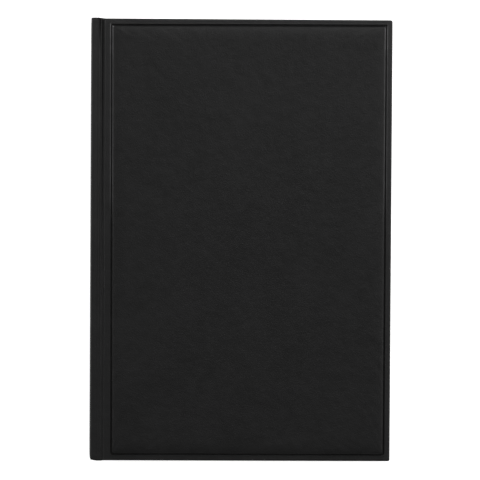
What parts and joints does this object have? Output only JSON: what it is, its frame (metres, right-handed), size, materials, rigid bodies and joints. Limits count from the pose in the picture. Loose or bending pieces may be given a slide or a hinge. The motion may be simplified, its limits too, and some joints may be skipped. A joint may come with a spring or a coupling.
{
  "type": "planner",
  "caption": "Closed hardcover planner with padded leather-look covers, a pressed frame line, grooved joints and sewn page sections; both covers open.",
  "frame": {"origin": "middle of the footprint, on the surface that the back cover rests on", "axes": "+X from the spine towards the fore-edge, +Y from tail to head, +Z out of the front cover"},
  "size_m": [0.1468, 0.2164, 0.0256],
  "materials": {
    "covering": "satin",
    "board": "matte",
    "padding": "matte",
    "endpaper": "matte",
    "pages": "matte",
    "lining": "matte",
    "gauze": "matte",
    "band": "matte",
    "thread": "matte"
  },
  "bodies": {
    "spine": {"spine_skin": "covering", "spine_board": "board", "spine_lining": "lining", "spine_mull": "gauze", "head_band": "band", "tail_band": "band", "sewing_thread_1": "thread", "sewing_thread_2": "thread", "sewing_thread_3": "thread", "sewing_thread_4": "thread", "front_joint_cloth": "covering", "back_joint_cloth": "covering"},
    "front_cover": {"front_skin": "covering", "front_foam_pad": "padding", "front_board": "board", "front_mull_flap": "gauze", "front_pastedown": "endpaper"},
    "back_cover": {"back_skin": "covering", "back_foam_pad": "padding", "back_board": "board", "back_mull_flap": "gauze", "back_pastedown": "endpaper"},
    "front_flyleaf": {"front_flyleaf": "endpaper"},
    "section_01": {"section_01": "pages"},
    "section_02": {"section_02": "pages"},
    "section_03": {"section_03": "pages"},
    "section_04": {"section_04": "pages"},
    "section_05": {"section_05": "pages"},
    "section_06": {"section_06": "pages"},
    "section_07": {"section_07": "pages"},
    "section_08": {"section_08": "pages"},
    "section_09": {"section_09": "pages"},
    "section_10": {"section_10": "pages"},
    "section_11": {"section_11": "pages"},
    "section_12": {"section_12": "pages"},
    "back_flyleaf": {"back_flyleaf": "endpaper"}
  },
  "joints": [
    {"name": "front_cover_hinge", "type": "hinge", "parent": "spine", "child": "front_cover", "pos_m": [-0.0704, 0, 0.02296], "axis": [0, -1, 0], "range_deg": [0, 178], "deforming": ["front_joint_cloth"]},
    {"name": "back_cover_hinge", "type": "hinge", "parent": "spine", "child": "back_cover", "pos_m": [-0.0704, 0, 0.0026], "axis": [0, 1, 0], "range_deg": [0, 179.6], "deforming": ["back_joint_cloth"]},
    {"name": "front_flyleaf_turn", "type": "hinge", "parent": "spine", "child": "front_flyleaf", "pos_m": [-0.0704, 0, 0.02296], "axis": [0, -1, 0], "range_deg": [0, 176.01]},
    {"name": "section_01_turn", "type": "hinge", "parent": "spine", "child": "section_01", "pos_m": [-0.0704, 0, 0.02296], "axis": [0, -1, 0], "range_deg": [0, 173.87]},
    {"name": "section_02_turn", "type": "hinge", "parent": "spine", "child": "section_02", "pos_m": [-0.0704, 0, 0.02296], "axis": [0, -1, 0], "range_deg": [0, 172.09]},
    {"name": "section_03_turn", "type": "hinge", "parent": "spine", "child": "section_03", "pos_m": [-0.0704, 0, 0.02296], "axis": [0, -1, 0], "range_deg": [0, 170.31]},
    {"name": "section_04_turn", "type": "hinge", "parent": "spine", "child": "section_04", "pos_m": [-0.0704, 0, 0.02296], "axis": [0, -1, 0], "range_deg": [0, 168.53]},
    {"name": "section_05_turn", "type": "hinge", "parent": "spine", "child": "section_05", "pos_m": [-0.0704, 0, 0.02296], "axis": [0, -1, 0], "range_deg": [0, 166.75]},
    {"name": "section_06_turn", "type": "hinge", "parent": "spine", "child": "section_06", "pos_m": [-0.0704, 0, 0.02296], "axis": [0, -1, 0], "range_deg": [0, 164.97]},
    {"name": "section_07_turn", "type": "hinge", "parent": "spine", "child": "section_07", "pos_m": [-0.0704, 0, 0.02296], "axis": [0, -1, 0], "range_deg": [0, 13.32]},
    {"name": "section_08_turn", "type": "hinge", "parent": "spine", "child": "section_08", "pos_m": [-0.0704, 0, 0.02296], "axis": [0, -1, 0], "range_deg": [0, 11.54]},
    {"name": "section_09_turn", "type": "hinge", "parent": "spine", "child": "section_09", "pos_m": [-0.0704, 0, 0.02296], "axis": [0, -1, 0], "range_deg": [0, 9.76]},
    {"name": "section_10_turn", "type": "hinge", "parent": "spine", "child": "section_10", "pos_m": [-0.0704, 0, 0.02296], "axis": [0, -1, 0], "range_deg": [0, 7.98]},
    {"name": "section_11_turn", "type": "hinge", "parent": "spine", "child": "section_11", "pos_m": [-0.0704, 0, 0.02296], "axis": [0, -1, 0], "range_deg": [0, 6.2]},
    {"name": "section_12_turn", "type": "hinge", "parent": "spine", "child": "section_12", "pos_m": [-0.0704, 0, 0.02296], "axis": [0, -1, 0], "range_deg": [0, 4.42]},
    {"name": "back_flyleaf_turn", "type": "hinge", "parent": "spine", "child": "back_flyleaf", "pos_m": [-0.0704, 0, 0.02296], "axis": [0, -1, 0], "range_deg": [0, 2.64]}
  ],
  "couplings": [
    {"joint": "front_flyleaf_turn", "follows": "front_cover_hinge", "ratio": 0.986},
    {"joint": "section_01_turn", "follows": "front_cover_hinge", "ratio": 0.974},
    {"joint": "section_02_turn", "follows": "front_cover_hinge", "ratio": 0.964},
    {"joint": "section_03_turn", "follows": "front_cover_hinge", "ratio": 0.954},
    {"joint": "section_04_turn", "follows": "front_cover_hinge", "ratio": 0.944},
    {"joint": "section_05_turn", "follows": "front_cover_hinge", "ratio": 0.934},
    {"joint": "section_06_turn", "follows": "front_cover_hinge", "ratio": 0.924},
    {"joint": "section_07_turn", "follows": "front_cover_hinge", "ratio": 0.072},
    {"joint": "section_08_turn", "follows": "front_cover_hinge", "ratio": 0.062},
    {"joint": "section_09_turn", "follows": "front_cover_hinge", "ratio": 0.052},
    {"joint": "section_10_turn", "follows": "front_cover_hinge", "ratio": 0.042},
    {"joint": "section_11_turn", "follows": "front_cover_hinge", "ratio": 0.032},
    {"joint": "section_12_turn", "follows": "front_cover_hinge", "ratio": 0.022},
    {"joint": "back_flyleaf_turn", "follows": "front_cover_hinge", "ratio": 0.012}
  ]
}
